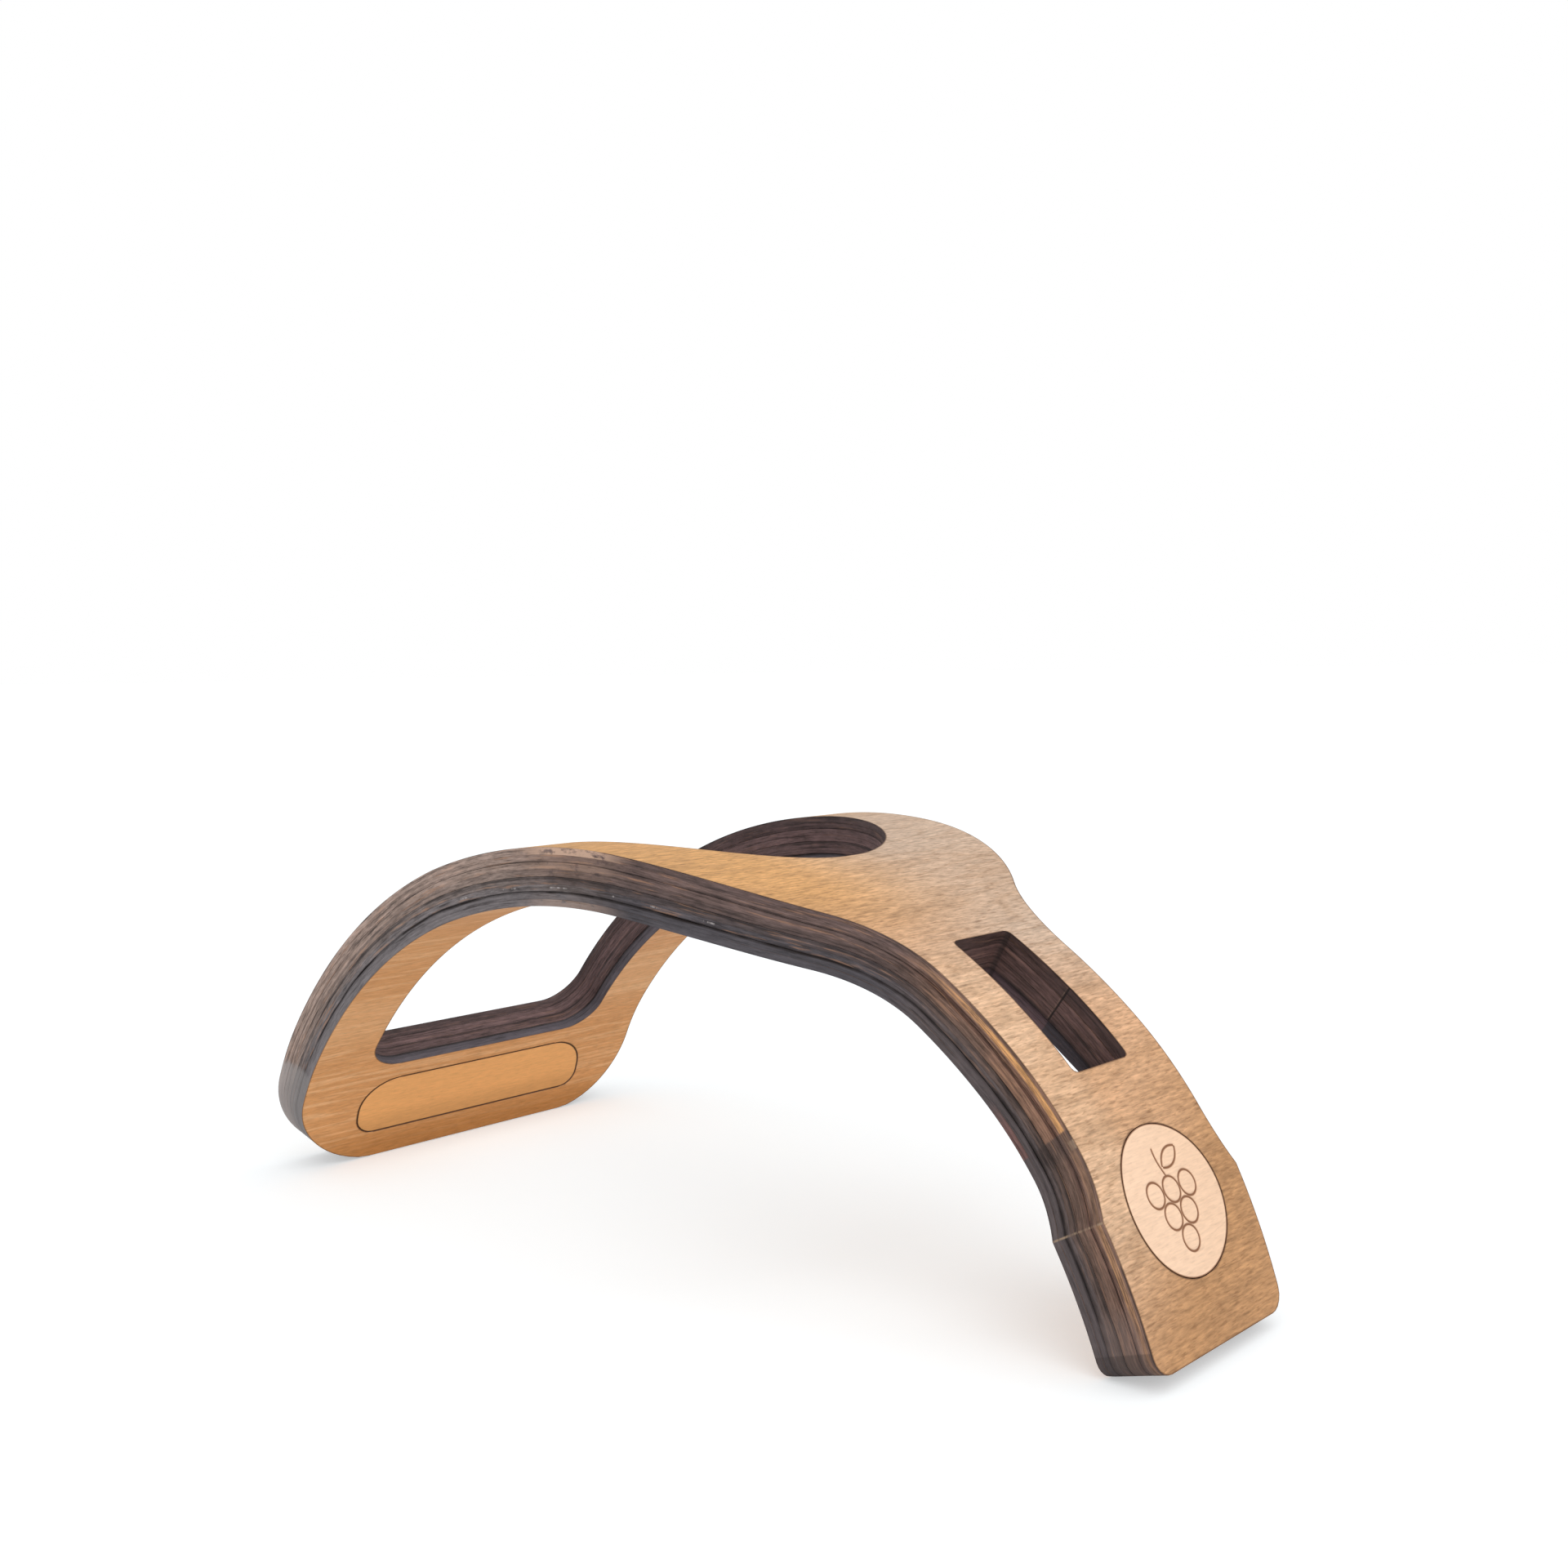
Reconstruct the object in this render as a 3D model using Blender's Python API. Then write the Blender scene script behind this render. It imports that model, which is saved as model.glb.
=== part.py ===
"""Wine bottle holder: eight veneers bent and glued into an arch, with a disc and a plaque let in."""
import math

import bmesh
import bpy
from mathutils import Vector

# Arch seen from the side, outer face, metres and degrees
CROWN_HEIGHT = 0.0990
SHEET_THICKNESS = 0.0136
RIGHT_CROWN_RADIUS = 0.1550
RIGHT_CROWN_SWEEP = 40.7
RIGHT_HIP_RADIUS = 0.1010
RIGHT_HIP_SWEEP = 18.4
RIGHT_LEG_RADIUS = 0.1480
LEFT_CROWN_RADIUS = 0.1535
LEFT_CROWN_SWEEP = 50.6
LEFT_FOOT_RADIUS = 0.0845
FOOT_WEAR = 0.0004
TO_THE_FLOOR = 180.0

# Veneers
VENEER_COUNT = 8
GLUE_LINE = 0.0001

# Ring and the bottle hole in it, measured along the sheet from the crown
RING_WIDTH = 0.1144
RING_RAIL = 0.0176
HOLE_PAST_CROWN = 0.0367
HOLE_NOSE_LENGTH = 0.0485
HOLE_CORNER = 0.0110
FOOT_WALL = 0.0364
LEFT_FOOT_CORNER = 0.0268

# Shoulder from the ring down to the leg
TAPER_START = -0.0502
TAPER_LENGTH = 0.0661
TAPER_DROP = 0.0045
SHOULDER_RADIUS = 0.0740
FILLET_RADIUS = 0.0379

# Leg, its slot and its foot
LEG_WIDTH = 0.0446
SLOT_RAIL = 0.01255
SLOT_CORNER = 0.0015
NECK_BRIDGE = 0.0419
DISC_BRIDGE = 0.0149
TAB_HEIGHT = 0.0310
TAB_FLARE = 0.0029
FLARE_RADIUS = 0.0363
FOOT_TAPER = 0.0011
RIGHT_FOOT_CORNER = 0.0045

# Inlays
INLAY_VENEERS = 2
INLAY_KERF = 0.0002
DISC_MARGIN = 0.0064
DISC_ABOVE_FOOT = 0.0295
PLAQUE_FOOT_MARGIN = 0.0095
PLAQUE_HOLE_MARGIN = 0.0066
PLAQUE_SIDE_MARGIN = 0.0184
PLAQUE_HOLE_CORNER = 0.0118
PLAQUE_FOOT_CORNER = 0.0058

# How finely bends and round outlines are cut
BEND_STEP = 0.0075
ARC_STEP = 0.0045
ARC_TURN = 22.5
NOSE_STEPS = 13
CUTTER_REACH = 0.0100
WELD = 0.000001
SMOOTH_ANGLE = 30.0

VENEER_PITCH = (SHEET_THICKNESS + GLUE_LINE) / VENEER_COUNT
VENEER_THICKNESS = VENEER_PITCH - GLUE_LINE
RING_HALF = RING_WIDTH / 2
HOLE_HALF = RING_HALF - RING_RAIL
LEG_HALF = LEG_WIDTH / 2


def clear_scene():
    for item in list(bpy.data.objects):
        bpy.data.objects.remove(item, do_unlink=True)


def new_collection(name):
    collection = bpy.data.collections.new(name)
    bpy.context.scene.collection.children.link(collection)
    return collection


def new_material(name, colour, roughness):
    material = bpy.data.materials.new(name)
    material.use_nodes = True
    shader = material.node_tree.nodes["Principled BSDF"]
    shader.inputs["Base Color"].default_value = (*colour, 1.0)
    shader.inputs["Roughness"].default_value = roughness
    shader.inputs["Metallic"].default_value = 0.0
    return material


def side_stations(arcs):
    """Stations (run, x, z, slope) from the crown down one side until the inner arris meets the floor."""
    x, z, slope, run = 0.0, CROWN_HEIGHT, 0.0, 0.0
    stations = []
    for radius, sweep in arcs:
        centre_x = x - radius * math.sin(slope)
        centre_z = z - radius * math.cos(slope)
        reach = (-FOOT_WEAR - centre_z) / (radius - SHEET_THICKNESS)
        landing = math.acos(max(-1.0, min(1.0, reach)))
        end = min(slope + math.radians(sweep), landing)
        steps = max(1, math.ceil(radius * (end - slope) / BEND_STEP))
        for step in range(1, steps + 1):
            angle = slope + (end - slope) * step / steps
            x = centre_x + radius * math.sin(angle)
            z = centre_z + radius * math.cos(angle)
            stations.append((run + radius * (angle - slope), x, z, angle))
        run = stations[-1][0]
        slope = end
        if end == landing:
            break
    return stations


def bend_stations():
    """All stations from the left foot over the crown to the right foot, centred along X."""
    right = side_stations(
        [
            (RIGHT_CROWN_RADIUS, RIGHT_CROWN_SWEEP),
            (RIGHT_HIP_RADIUS, RIGHT_HIP_SWEEP),
            (RIGHT_LEG_RADIUS, TO_THE_FLOOR),
        ]
    )
    left = side_stations([(LEFT_CROWN_RADIUS, LEFT_CROWN_SWEEP), (LEFT_FOOT_RADIUS, TO_THE_FLOOR)])
    mirrored = [(-run, -x, z, -slope) for run, x, z, slope in reversed(left)]
    stations = mirrored + [(0.0, 0.0, CROWN_HEIGHT, 0.0)] + right
    across = [station[1] for station in stations]
    middle = (max(across) + min(across)) / 2
    return [(run, x - middle, z, slope) for run, x, z, slope in stations]


def bend(point, stations):
    """Place a point of the flat sheet (run, y, height over the outer face) on the arch."""
    run, y, height = point
    index = 0
    while index < len(stations) - 2 and run > stations[index + 1][0]:
        index += 1
    first, second = stations[index], stations[index + 1]
    share = (run - first[0]) / (second[0] - first[0])
    ends = []
    for _, x, z, slope in (first, second):
        ends.append(Vector((x + height * math.sin(slope), y, z + height * math.cos(slope))))
    return ends[0].lerp(ends[1], share)


def arc(centre, radius, start, end):
    """Points on a round stretch from start to end, both ends included."""
    turn = abs(end - start)
    steps = max(1, math.ceil(turn * radius / ARC_STEP), math.ceil(turn / math.radians(ARC_TURN)))
    points = []
    for step in range(steps + 1):
        angle = start + (end - start) * step / steps
        points.append(Vector((centre[0] + radius * math.cos(angle), centre[1] + radius * math.sin(angle))))
    return points


def rounded(corners):
    """Closed outline through corners (point, radius), each corner rounded by a tangent arc."""
    points = []
    for index, (corner, radius) in enumerate(corners):
        if radius == 0:
            points.append(corner)
            continue
        before = (corners[index - 1][0] - corner).normalized()
        after = (corners[(index + 1) % len(corners)][0] - corner).normalized()
        half = before.angle(after) / 2
        centre = corner + (before + after).normalized() * radius / math.sin(half)
        first = corner + before * radius / math.tan(half) - centre
        last = corner + after * radius / math.tan(half) - centre
        start = math.atan2(first.y, first.x)
        turn = math.atan2(first.cross(last), first.dot(last))
        points.extend(arc(centre, radius, start, start + turn))
    return points


def mirrored_outline(half):
    """Both sides of an outline whose upper half is given from right to left."""
    lower = [(Vector((point.x, -point.y)), radius) for point, radius in reversed(half)]
    return rounded(half + lower)


def sheet_outline(left_end, right_end):
    tab_half = LEG_HALF + TAB_FLARE
    tab = Vector((right_end - TAB_HEIGHT, tab_half))
    half = [(Vector((right_end, tab_half - FOOT_TAPER)), RIGHT_FOOT_CORNER), (tab, 0)]

    # Flare from the tab back to the leg
    turn = math.acos(1 - TAB_FLARE / FLARE_RADIUS)
    centre = Vector((tab.x - FLARE_RADIUS * math.sin(turn), LEG_HALF + FLARE_RADIUS))
    half += [(point, 0) for point in arc(centre, FLARE_RADIUS, turn - math.pi / 2, -math.pi / 2)[1:]]

    # Fillet and shoulder, tangent to the leg, to each other and to the taper
    lean = math.atan2(TAPER_DROP, TAPER_LENGTH)
    taper_end = Vector((TAPER_START + TAPER_LENGTH, RING_HALF - TAPER_DROP))
    shoulder = taper_end - SHOULDER_RADIUS * Vector((math.sin(lean), math.cos(lean)))
    rise = LEG_HALF + FILLET_RADIUS - shoulder.y
    span = math.sqrt(max(0.0, (SHOULDER_RADIUS + FILLET_RADIUS) ** 2 - rise**2))
    fillet = shoulder + Vector((span, rise))
    meeting = math.atan2(rise, span)
    half += [(point, 0) for point in arc(fillet, FILLET_RADIUS, -math.pi / 2, meeting - math.pi)]
    half += [(point, 0) for point in arc(shoulder, SHOULDER_RADIUS, meeting, math.pi / 2 - lean)[1:]]

    half.append((Vector((TAPER_START, RING_HALF)), 0))
    half.append((Vector((left_end, RING_HALF)), LEFT_FOOT_CORNER))
    return mirrored_outline(half)


def hole_outline(left_end):
    """Square-ended towards the left foot, drawn out to a half ellipse past the crown."""
    nose = HOLE_PAST_CROWN - HOLE_NOSE_LENGTH
    half = []
    for step in range(NOSE_STEPS + 1):
        angle = math.pi / 2 * (step + 0.5) / (NOSE_STEPS + 0.5)
        half.append((Vector((nose + HOLE_NOSE_LENGTH * math.cos(angle), HOLE_HALF * math.sin(angle))), 0))
    half.append((Vector((left_end + FOOT_WALL, HOLE_HALF)), HOLE_CORNER))
    return mirrored_outline(half)


def slot_outline(right_end):
    start = HOLE_PAST_CROWN + NECK_BRIDGE
    stop = right_end - DISC_ABOVE_FOOT - (LEG_HALF - DISC_MARGIN) - DISC_BRIDGE
    half_width = LEG_HALF - SLOT_RAIL
    corners = [Vector((stop, half_width)), Vector((start, half_width))]
    return mirrored_outline([(corner, SLOT_CORNER) for corner in corners])


def disc_outline(right_end, clearance):
    radius = LEG_HALF - DISC_MARGIN + clearance
    return arc((right_end - DISC_ABOVE_FOOT, 0.0), radius, 0.0, 2 * math.pi)[:-1]


def plaque_outline(left_end, clearance):
    """Rounded more boldly towards the bottle hole than towards the foot."""
    low = left_end + PLAQUE_FOOT_MARGIN - clearance
    high = left_end + FOOT_WALL - PLAQUE_HOLE_MARGIN + clearance
    side = RING_HALF - PLAQUE_SIDE_MARGIN + clearance
    upper = (Vector((high, side)), PLAQUE_HOLE_CORNER + clearance)
    lower = (Vector((low, side)), PLAQUE_FOOT_CORNER + clearance)
    return mirrored_outline([upper, lower])


def cutter(name, outline, collection):
    """Upright prism on an outline, reaching past both faces of the flat sheet."""
    curve = bpy.data.curves.new(name, "CURVE")
    curve.dimensions = "2D"
    curve.fill_mode = "BOTH"
    curve.extrude = SHEET_THICKNESS / 2 + CUTTER_REACH
    spline = curve.splines.new("POLY")
    spline.points.add(len(outline) - 1)
    for point, place in zip(spline.points, outline):
        point.co = (place.x, place.y, 0.0, 1.0)
    spline.use_cyclic_u = True
    source = bpy.data.objects.new(name, curve)
    bpy.context.scene.collection.objects.link(source)
    bpy.context.view_layer.update()
    mesh = bpy.data.meshes.new_from_object(source.evaluated_get(bpy.context.evaluated_depsgraph_get()))
    bpy.data.objects.remove(source, do_unlink=True)
    solid = bmesh.new()
    solid.from_mesh(mesh)
    bmesh.ops.remove_doubles(solid, verts=solid.verts, dist=WELD)
    bmesh.ops.recalc_face_normals(solid, faces=solid.faces)
    solid.to_mesh(mesh)
    solid.free()
    return hidden_tool(name, mesh, (0.0, 0.0, -SHEET_THICKNESS / 2), collection)


def hidden_tool(name, mesh, place, collection):
    tool = bpy.data.objects.new(name, mesh)
    tool.location = place
    tool.hide_render = True
    tool.display_type = "WIRE"
    collection.objects.link(tool)
    return tool


def block(size, centre, cuts):
    """Box of the given size, sliced across at each place in cuts."""
    solid = bmesh.new()
    bmesh.ops.create_cube(solid, size=1.0)
    bmesh.ops.scale(solid, vec=size, verts=solid.verts)
    bmesh.ops.translate(solid, vec=centre, verts=solid.verts)
    for place in cuts:
        everything = solid.verts[:] + solid.edges[:] + solid.faces[:]
        bmesh.ops.bisect_plane(solid, geom=everything, plane_co=(place, 0, 0), plane_no=(1, 0, 0))
    mesh = bpy.data.meshes.new("block")
    solid.to_mesh(mesh)
    solid.free()
    return mesh


def carve(item, operation, tool):
    """Cut or keep with a tool and bake the result into the mesh."""
    modifier = item.modifiers.new("carve", "BOOLEAN")
    modifier.operation = operation
    modifier.solver = "EXACT"
    modifier.object = tool
    bpy.context.view_layer.update()
    mesh = bpy.data.meshes.new_from_object(item.evaluated_get(bpy.context.evaluated_depsgraph_get()))
    item.modifiers.clear()
    item.data = mesh


def bent_layer(name, top, bottom, keep, removed, material):
    """One layer of the sheet between two heights: cut flat, bent over the arch, feet dressed on the floor."""
    runs = [station[0] for station in STATIONS]
    length = runs[-1] - runs[0] + 2 * CUTTER_REACH
    size = (length, 2 * RING_HALF + 2 * CUTTER_REACH, top - bottom)
    centre = ((runs[-1] + runs[0]) / 2, 0.0, (top + bottom) / 2)
    layer = bpy.data.objects.new(name, block(size, centre, runs[1:-1]))
    PARTS.objects.link(layer)
    carve(layer, "INTERSECT", keep)
    for tool in removed:
        carve(layer, "DIFFERENCE", tool)
    for vertex in layer.data.vertices:
        vertex.co = bend(vertex.co, STATIONS)
    carve(layer, "DIFFERENCE", FLOOR)
    solid = bmesh.new()
    solid.from_mesh(layer.data)
    bmesh.ops.remove_doubles(solid, verts=solid.verts, dist=WELD)
    bmesh.ops.recalc_face_normals(solid, faces=solid.faces)
    solid.to_mesh(layer.data)
    solid.free()
    layer.data.name = name
    layer.data.materials.clear()
    layer.data.materials.append(material)
    layer.data.shade_smooth()
    layer.data.set_sharp_from_angle(angle=math.radians(SMOOTH_ANGLE))
    return layer


clear_scene()
PARTS = new_collection("wine_bottle_holder")
CUTTERS = new_collection("cutters")
STATIONS = bend_stations()
LEFT_END = STATIONS[0][0]
RIGHT_END = STATIONS[-1][0]

# Tools that cut the flat sheet, and the floor that dresses the feet
SHEET = cutter("sheet_outline", sheet_outline(LEFT_END, RIGHT_END), CUTTERS)
HOLE = cutter("bottle_hole", hole_outline(LEFT_END), CUTTERS)
SLOT = cutter("leg_slot", slot_outline(RIGHT_END), CUTTERS)
DISC = cutter("disc_shape", disc_outline(RIGHT_END, 0.0), CUTTERS)
DISC_POCKET = cutter("disc_pocket", disc_outline(RIGHT_END, INLAY_KERF), CUTTERS)
PLAQUE = cutter("plaque_shape", plaque_outline(LEFT_END, 0.0), CUTTERS)
PLAQUE_POCKET = cutter("plaque_pocket", plaque_outline(LEFT_END, INLAY_KERF), CUTTERS)
SPAN = RIGHT_END - LEFT_END
FLOOR = hidden_tool("floor", block((SPAN, SPAN, SPAN), (0.0, 0.0, -SPAN / 2), []), (0, 0, 0), CUTTERS)

FACE_WOOD = new_material("face_wood", (0.58, 0.35, 0.18), 0.55)
CORE_WOOD = new_material("core_wood", (0.16, 0.11, 0.08), 0.70)
DISC_WOOD = new_material("disc_wood", (0.85, 0.62, 0.42), 0.55)
PLAQUE_WOOD = new_material("plaque_wood", (0.66, 0.36, 0.13), 0.55)

# Veneers from the outer face inwards
for number in range(1, VENEER_COUNT + 1):
    face = number in (1, VENEER_COUNT)
    openings = [HOLE, SLOT]
    if number <= INLAY_VENEERS:
        openings.append(DISC_POCKET)
    if number > VENEER_COUNT - INLAY_VENEERS:
        openings.append(PLAQUE_POCKET)
    top = -(number - 1) * VENEER_PITCH
    bent_layer(
        f"veneer_{number}",
        top,
        top - VENEER_THICKNESS,
        SHEET,
        openings,
        FACE_WOOD if face else CORE_WOOD,
    )

# Disc let into the outer face of the leg, plaque let into the inner face of the left foot
INLAY_THICKNESS = INLAY_VENEERS * VENEER_PITCH - GLUE_LINE
bent_layer("disc_inlay", 0.0, -INLAY_THICKNESS, DISC, [], DISC_WOOD)
bent_layer("plaque_inlay", INLAY_THICKNESS - SHEET_THICKNESS, -SHEET_THICKNESS, PLAQUE, [], PLAQUE_WOOD)
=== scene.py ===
import math

import bmesh
import bpy
import numpy as np
from mathutils import Matrix, Vector


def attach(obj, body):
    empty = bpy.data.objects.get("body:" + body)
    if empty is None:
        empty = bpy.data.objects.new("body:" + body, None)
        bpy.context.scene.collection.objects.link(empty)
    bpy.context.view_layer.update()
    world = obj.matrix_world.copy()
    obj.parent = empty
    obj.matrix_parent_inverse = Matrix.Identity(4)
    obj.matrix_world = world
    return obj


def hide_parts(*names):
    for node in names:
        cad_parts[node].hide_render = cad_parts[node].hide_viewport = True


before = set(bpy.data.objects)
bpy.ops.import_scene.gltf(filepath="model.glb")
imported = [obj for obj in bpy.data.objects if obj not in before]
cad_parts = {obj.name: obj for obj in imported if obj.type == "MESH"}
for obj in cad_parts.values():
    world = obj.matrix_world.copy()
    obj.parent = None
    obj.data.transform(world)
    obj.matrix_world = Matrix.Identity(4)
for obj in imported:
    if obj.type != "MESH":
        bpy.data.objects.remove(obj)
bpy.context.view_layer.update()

scene = bpy.context.scene
MM = 0.001

# Shape of the holder in millimetres and degrees, as in the CAD model
CROWN_HEIGHT = 99.0
THICKNESS = 13.6
RIGHT_ARCS = [(155.0, 40.7), (101.0, 18.4), (148.0, 180.0)]
LEFT_ARCS = [(153.5, 50.6), (84.5, 180.0)]
FOOT_WEAR = 0.4
VENEERS = 8
OUTER_VENEERS = 6
GLUE = 0.1
RING_HALF = 57.2
HOLE_HALF = 39.6
HOLE_END = 36.7
NOSE_LENGTH = 48.5
HOLE_CORNER = 11.0
FOOT_WALL = 36.4
LEFT_CORNER = 26.8
TAPER_START = -50.2
TAPER_LENGTH = 66.1
TAPER_DROP = 4.5
SHOULDER_R = 74.0
FILLET_R = 37.9
LEG_HALF = 22.3
SLOT_HALF = 9.75
SLOT_CORNER = 1.5
NECK_BRIDGE = 41.9
DISC_R = 15.9
DISC_ABOVE_FOOT = 29.5
DISC_BRIDGE = 14.9
TAB_HEIGHT = 31.0
TAB_FLARE = 2.9
FLARE_R = 36.3
FOOT_TAPER = 1.1
RIGHT_CORNER = 4.5
PLAQUE_FOOT = 9.5
PLAQUE_HOLE = 6.6
PLAQUE_SIDE = 18.4
PLAQUE_HOLE_CORNER = 11.8
PLAQUE_FOOT_CORNER = 5.8
INLAY_VENEERS = 2
KERF = 0.2
PITCH = (THICKNESS + GLUE) / VENEERS
PLY = PITCH - GLUE
INLAY = INLAY_VENEERS * PITCH - GLUE

# In the slot the inner veneers stand back by a ledge that grows below a butt joint;
# the outer ones step back a little at that joint, over a short ramp
LEDGE = 0.35
LOW_LEDGE = 2.0
BUTT_U = 99.0
BUTT_STEP = 0.1
BUTT_RAMP = 0.3


def arcs_down(arcs):
    """Arcs (run, radius, centre x, centre z, slope) from the crown to the floor, and the run and x there."""
    x, z, slope, run = 0.0, CROWN_HEIGHT, 0.0, 0.0
    out = []
    for radius, sweep in arcs:
        centre_x = x - radius * math.sin(slope)
        centre_z = z - radius * math.cos(slope)
        landing = math.acos((-FOOT_WEAR - centre_z) / (radius - THICKNESS))
        end = min(slope + math.radians(sweep), landing)
        out.append((run, radius, centre_x, centre_z, slope))
        run += radius * (end - slope)
        x = centre_x + radius * math.sin(end)
        z = centre_z + radius * math.cos(end)
        slope = end
    return out, run, x


ARCS_RIGHT, RIGHT_END, RIGHT_X = arcs_down(RIGHT_ARCS)
ARCS_LEFT, LEFT_RUN, LEFT_X = arcs_down(LEFT_ARCS)
LEFT_END = -LEFT_RUN
MIDDLE = (RIGHT_X - LEFT_X) / 2

# Places along the sheet, measured from the crown
HOLE_START = LEFT_END + FOOT_WALL
NOSE_START = HOLE_END - NOSE_LENGTH
SLOT_START = HOLE_END + NECK_BRIDGE
DISC_U = RIGHT_END - DISC_ABOVE_FOOT
SLOT_END = DISC_U - DISC_R - DISC_BRIDGE
TAB_U = RIGHT_END - TAB_HEIGHT
PLAQUE_LOW = LEFT_END + PLAQUE_FOOT
PLAQUE_HIGH = HOLE_START - PLAQUE_HOLE

# Shoulder and fillet circles, tangent to the taper, to each other and to the leg
LEAN = math.atan2(TAPER_DROP, TAPER_LENGTH)
TAPER_END = TAPER_START + TAPER_LENGTH
SHOULDER_U = TAPER_END - SHOULDER_R * math.sin(LEAN)
SHOULDER_Y = RING_HALF - TAPER_DROP - SHOULDER_R * math.cos(LEAN)
FILLET_Y = LEG_HALF + FILLET_R
FILLET_U = SHOULDER_U + math.sqrt((SHOULDER_R + FILLET_R) ** 2 - (FILLET_Y - SHOULDER_Y) ** 2)
MEET_U = SHOULDER_U + (FILLET_U - SHOULDER_U) * SHOULDER_R / (SHOULDER_R + FILLET_R)
FLARE_U = TAB_U - math.sqrt(FLARE_R**2 - (FLARE_R - TAB_FLARE) ** 2)


def bend(flat):
    """Points (run, y, height over the outer face) of the flat sheet placed on the arch, in metres."""
    u, y, height = flat.T
    x = np.zeros_like(u)
    z = np.zeros_like(u)
    for sign, arcs in ((1.0, ARCS_RIGHT), (-1.0, ARCS_LEFT)):
        for run, radius, centre_x, centre_z, slope in arcs:
            inside = u * sign >= run
            turn = slope + (u * sign - run) / radius
            x = np.where(inside, sign * (centre_x + (radius + height) * np.sin(turn)), x)
            z = np.where(inside, centre_z + (radius + height) * np.cos(turn), z)
    return np.stack([x - MIDDLE, y, np.maximum(z, 0.0)], 1) * MM


def root(value):
    return np.sqrt(np.maximum(value, 0.0))


def corner_loss(radius, into):
    """How much a rounded corner takes off a half width, given the distance into the corner."""
    return radius - root(radius**2 - np.maximum(into, 0.0) ** 2)


def sheet_half(u):
    """Half width of the sheet at a run u."""
    tab = LEG_HALF + TAB_FLARE - FOOT_TAPER * (u - TAB_U) / TAB_HEIGHT
    tab = tab - corner_loss(RIGHT_CORNER, u - RIGHT_END + RIGHT_CORNER)
    return np.select(
        [u < TAPER_START, u < TAPER_END, u < MEET_U, u < FILLET_U, u < FLARE_U, u < TAB_U],
        [
            RING_HALF - corner_loss(LEFT_CORNER, LEFT_END + LEFT_CORNER - u),
            RING_HALF - TAPER_DROP * (u - TAPER_START) / TAPER_LENGTH,
            SHOULDER_Y + root(SHOULDER_R**2 - (u - SHOULDER_U) ** 2),
            FILLET_Y - root(FILLET_R**2 - (u - FILLET_U) ** 2),
            np.full_like(u, LEG_HALF),
            LEG_HALF + corner_loss(FLARE_R, u - FLARE_U),
        ],
        tab,
    )


def hole_half(u):
    """Half width of the bottle hole at a run u."""
    square = HOLE_HALF - corner_loss(HOLE_CORNER, HOLE_START + HOLE_CORNER - u)
    nose = HOLE_HALF * root(1 - ((u - NOSE_START) / NOSE_LENGTH) ** 2)
    return np.where(u < NOSE_START, square, nose)


def slot(clear, step, low_clear):
    """Leg slot, widened by a clearance that steps up at the butt joint and grows towards the lower end."""
    start = SLOT_START - clear
    stop = SLOT_END + clear

    def half(u):
        into = np.maximum(start + SLOT_CORNER - u, u - stop + SLOT_CORNER)
        below = np.clip((u - BUTT_U) / (SLOT_END - BUTT_U), 0, 1)
        stepped = step * np.clip((u - BUTT_U) / BUTT_RAMP, 0, 1)
        wide = clear + stepped + (low_clear - clear) * below**2
        return SLOT_HALF + wide - corner_loss(SLOT_CORNER, into)

    return start, stop, half


def disc_pocket(clear):
    """Round pocket for the disc, with a clearance all round."""
    reach = DISC_R + clear

    def half(u):
        return root(reach**2 - (u - DISC_U) ** 2)

    return DISC_U - reach, DISC_U + reach, half


def plaque_shape(clear):
    """Outline of the plaque, or of its pocket when it has a clearance."""
    start = PLAQUE_LOW - clear
    stop = PLAQUE_HIGH + clear
    side = RING_HALF - PLAQUE_SIDE + clear
    low_corner = PLAQUE_FOOT_CORNER + clear
    high_corner = PLAQUE_HOLE_CORNER + clear

    def half(u):
        low_loss = corner_loss(low_corner, start + low_corner - u)
        high_loss = corner_loss(high_corner, u - stop + high_corner)
        return side - low_loss - high_loss

    return start, stop, half


def new_object(name, data):
    """An object with this data in the scene."""
    item = bpy.data.objects.new(name, data)
    scene.collection.objects.link(item)
    return item


# Kinds of surface, kept for every face of a mesh in its attribute "wall"
FACE = 0
OUTER_EDGE = 1
OPENING_EDGE = 2

# Weld distance and width of slivers to dissolve, in metres, and the angle from which an edge stays crisp
WELD = 1e-7
SLIVER = 1e-8
CRISP = math.radians(35)


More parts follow.
